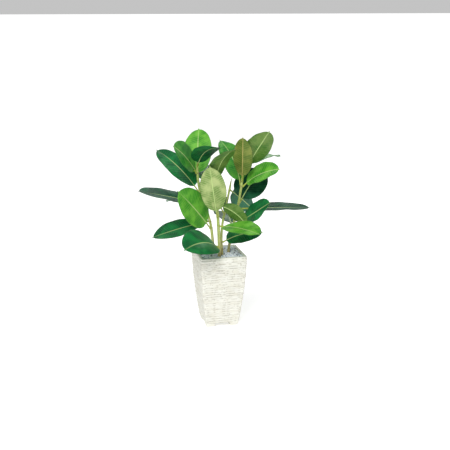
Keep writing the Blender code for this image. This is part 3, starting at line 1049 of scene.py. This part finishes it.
# ------------------------------------------------------------------ soil and small stones

@dataclass
class Filling:
    """The soil, its gravel bed, and the small stones that lie on top."""

    planter: Planter
    stems: dict[str, Stem]
    top: float = 0.2266
    pitch: float = 0.0042
    smallest: float = 0.0017
    largest: float = 0.0030
    seed: int = 5

    def masters(self, rng: random.Random) -> list[np.ndarray]:
        """A few stone shapes.

        Args:
            rng: where the shapes' chance comes from.

        Returns:
            Each shape as rows of points of one dented ball.
        """
        shapes = []
        for _ in range(7):
            deselect_all()
            bpy.ops.mesh.primitive_ico_sphere_add(subdivisions=2, radius=1.0, location=(0, 0, 0))
            ball = bpy.context.object
            co = read_points(ball.data)
            offset = Vector((rng.uniform(0, 50), rng.uniform(0, 50), rng.uniform(0, 50)))
            bumps = [1.0 + 0.22 * noise.noise(Vector(point) * 1.3 + offset) for point in co]
            shape = co * np.array(bumps)[:, None]
            shapes.append(shape * np.array([1.0, rng.uniform(0.72, 0.95), rng.uniform(0.55, 0.8)]))
            self.ball = ball.data
            bpy.data.objects.remove(ball)
        return shapes

    def places(self, rng: random.Random) -> list[tuple[float, float]]:
        """Where the stones lie: a jittered grid inside the planter's walls, clear of the stems.

        Args:
            rng: where the jitter comes from.

        Returns:
            The places as x and y from the planter's axis.
        """
        reach = float(self.planter.half_width(np.array([self.top]))[0]) - self.planter.wall - 0.0022
        count = int(reach // self.pitch)
        trunks = [(stem.centre(self.top), stem.radius(self.top) + 0.0026) for stem in self.stems.values()]
        spots = []
        for row in range(-count, count + 1):
            for column in range(-count, count + 1):
                shift = self.pitch / 2 if row % 2 else 0.0
                x = column * self.pitch + shift + rng.uniform(-0.3, 0.3) * self.pitch
                y = row * self.pitch + rng.uniform(-0.3, 0.3) * self.pitch
                near = any(np.hypot(x - trunk[0], y - trunk[1]) < limit for trunk, limit in trunks)
                if max(abs(x), abs(y)) < reach and not near:
                    spots.append((x, y))
        return spots

    def build(self) -> None:
        """Dress the soil and the gravel bed, and lay the stones over them."""
        for node, material in (("soil", Soil().material()), ("top_dressing", GravelBed().material())):
            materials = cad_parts[node].data.materials
            materials.clear()
            materials.append(material)
        rng = random.Random(self.seed)
        shapes = self.masters(rng)
        faces = [tuple(face.vertices) for face in self.ball.polygons]
        points: list[np.ndarray] = []
        polygons: list[tuple[int, ...]] = []
        shades: list[float] = []
        for x, y in self.places(rng):
            size = rng.uniform(self.smallest, self.largest)
            turn = Matrix.Rotation(rng.uniform(0, tau), 3, "Z")
            spin = turn @ Matrix.Rotation(rng.uniform(-0.6, 0.6), 3, "X")
            co = rng.choice(shapes) @ np.array(spin).T * size
            low = self.top + rng.uniform(-0.0012, 0.0008)
            start = len(points) * len(co)
            points.append(co + np.array([x + PLANTER_X, y + PLANTER_Y, low]))
            polygons += [tuple(start + i for i in face) for face in faces]
            shades += [rng.random()] * len(co)
        mesh = bpy.data.meshes.new("pebbles")
        mesh.from_pydata(np.concatenate(points).tolist(), [], polygons)
        write_shade(mesh, "shade", np.array(shades))
        smooth(mesh)
        add_piece("top_stones", mesh, [Pebbles().material()])


# ------------------------------------------------------------------ studio

@dataclass
class Studio:
    """A pale floor, soft lights and the camera."""

    target: tuple[float, float, float] = (PLANTER_X, 0.0, 0.316)
    distance: float = 2.7
    azimuth: float = -13.7
    elevation: float = 14.35
    lens: float = 69.37
    shift: float = 0.0139
    floor_size: float = 160.0
    floor_glow: float = 0.34
    backdrop: tuple[float, float, float] = (1.0, 1.0, 1.0)

    def build(self) -> None:
        """Set up the floor, the world, the lights and the camera."""
        self.build_floor()
        world = bpy.data.worlds.new("studio")
        bpy.context.scene.world = world
        world.use_nodes = True
        sky = world.node_tree.nodes["Background"]
        sky.inputs["Color"].default_value = rgba(self.backdrop)
        sky.inputs["Strength"].default_value = 0.55
        self.add_light("key", (-1.1, -2.2, 2.4), 0.8, 36.0)
        self.add_light("rim", (0.9, 2.0, 2.0), 1.2, 16.0)
        self.add_daylight()
        self.add_camera()
        bpy.context.scene.view_settings.view_transform = "Standard"

    def build_floor(self) -> None:
        """A plain pale floor."""
        deselect_all()
        bpy.ops.mesh.primitive_plane_add(size=self.floor_size, location=(0, 0, 0))
        floor = bpy.context.object
        floor.name = "studio_floor"
        shader = Shader("studio_floor", roughness=0.9, specular=0.0)
        shader.bsdf.inputs["Base Color"].default_value = rgba((0.88, 0.88, 0.88))
        shader.bsdf.inputs["Emission Color"].default_value = rgba((1.0, 1.0, 1.0))
        shader.bsdf.inputs["Emission Strength"].default_value = self.floor_glow
        floor.data.materials.append(shader.material)

    def add_light(self, name: str, place: tuple[float, float, float], size: float, power: float) -> None:
        """A soft square light that faces the plant.

        Args:
            name: the light's name.
            place: where it stands.
            size: its side in metres.
            power: its power in watts.
        """
        data = bpy.data.lights.new(name, "AREA")
        data.energy = power
        data.size = size
        light = bpy.data.objects.new(name, data)
        light.location = place
        light.rotation_euler = (Vector(self.target) - Vector(place)).to_track_quat("-Z", "Y").to_euler()
        bpy.context.scene.collection.objects.link(light)

    def add_daylight(self) -> None:
        """A very soft, even light from the upper left."""
        data = bpy.data.lights.new("daylight", "SUN")
        data.energy = 1.1
        data.angle = radians(60.0)
        light = bpy.data.objects.new("daylight", data)
        light.rotation_euler = Vector((-0.5, -0.75, 1.0)).to_track_quat("Z", "Y").to_euler()
        bpy.context.scene.collection.objects.link(light)

    def add_camera(self) -> None:
        """The camera, which looks at the plant from a little above."""
        turn, tilt = radians(self.azimuth), radians(self.elevation)
        back = Vector((sin(turn) * cos(tilt), -cos(turn) * cos(tilt), sin(tilt)))
        data = bpy.data.cameras.new("camera")
        data.lens = self.lens
        data.shift_x = self.shift
        camera = bpy.data.objects.new("camera", data)
        camera.location = Vector(self.target) + back * self.distance
        camera.rotation_euler = back.to_track_quat("Z", "Y").to_euler()
        bpy.context.scene.collection.objects.link(camera)
        bpy.context.scene.camera = camera


def main() -> None:
    """Build every part of the plant, then the studio, and log each piece's face count."""
    logging.basicConfig(level=logging.INFO, format="%(message)s")
    planter = Planter(height=0.230, top_width=0.145)
    planter.build()
    Filling(planter, STEMS).build()

    bark = StemBark().material()
    for name, stem in STEMS.items():
        stem.build([leaf.height for leaf in LEAVES.values() if leaf.stem == name], bark)

    stock = LeafStock()
    stock.build()
    skins = {tone: [tone.value.upper_material(), tone.value.under_material()] for tone in Tone}
    for name, leaf in LEAVES.items():
        leaf.build(name, STEMS[leaf.stem], stock, skins)

    Studio().build()


if __name__ == "__main__":
    main()
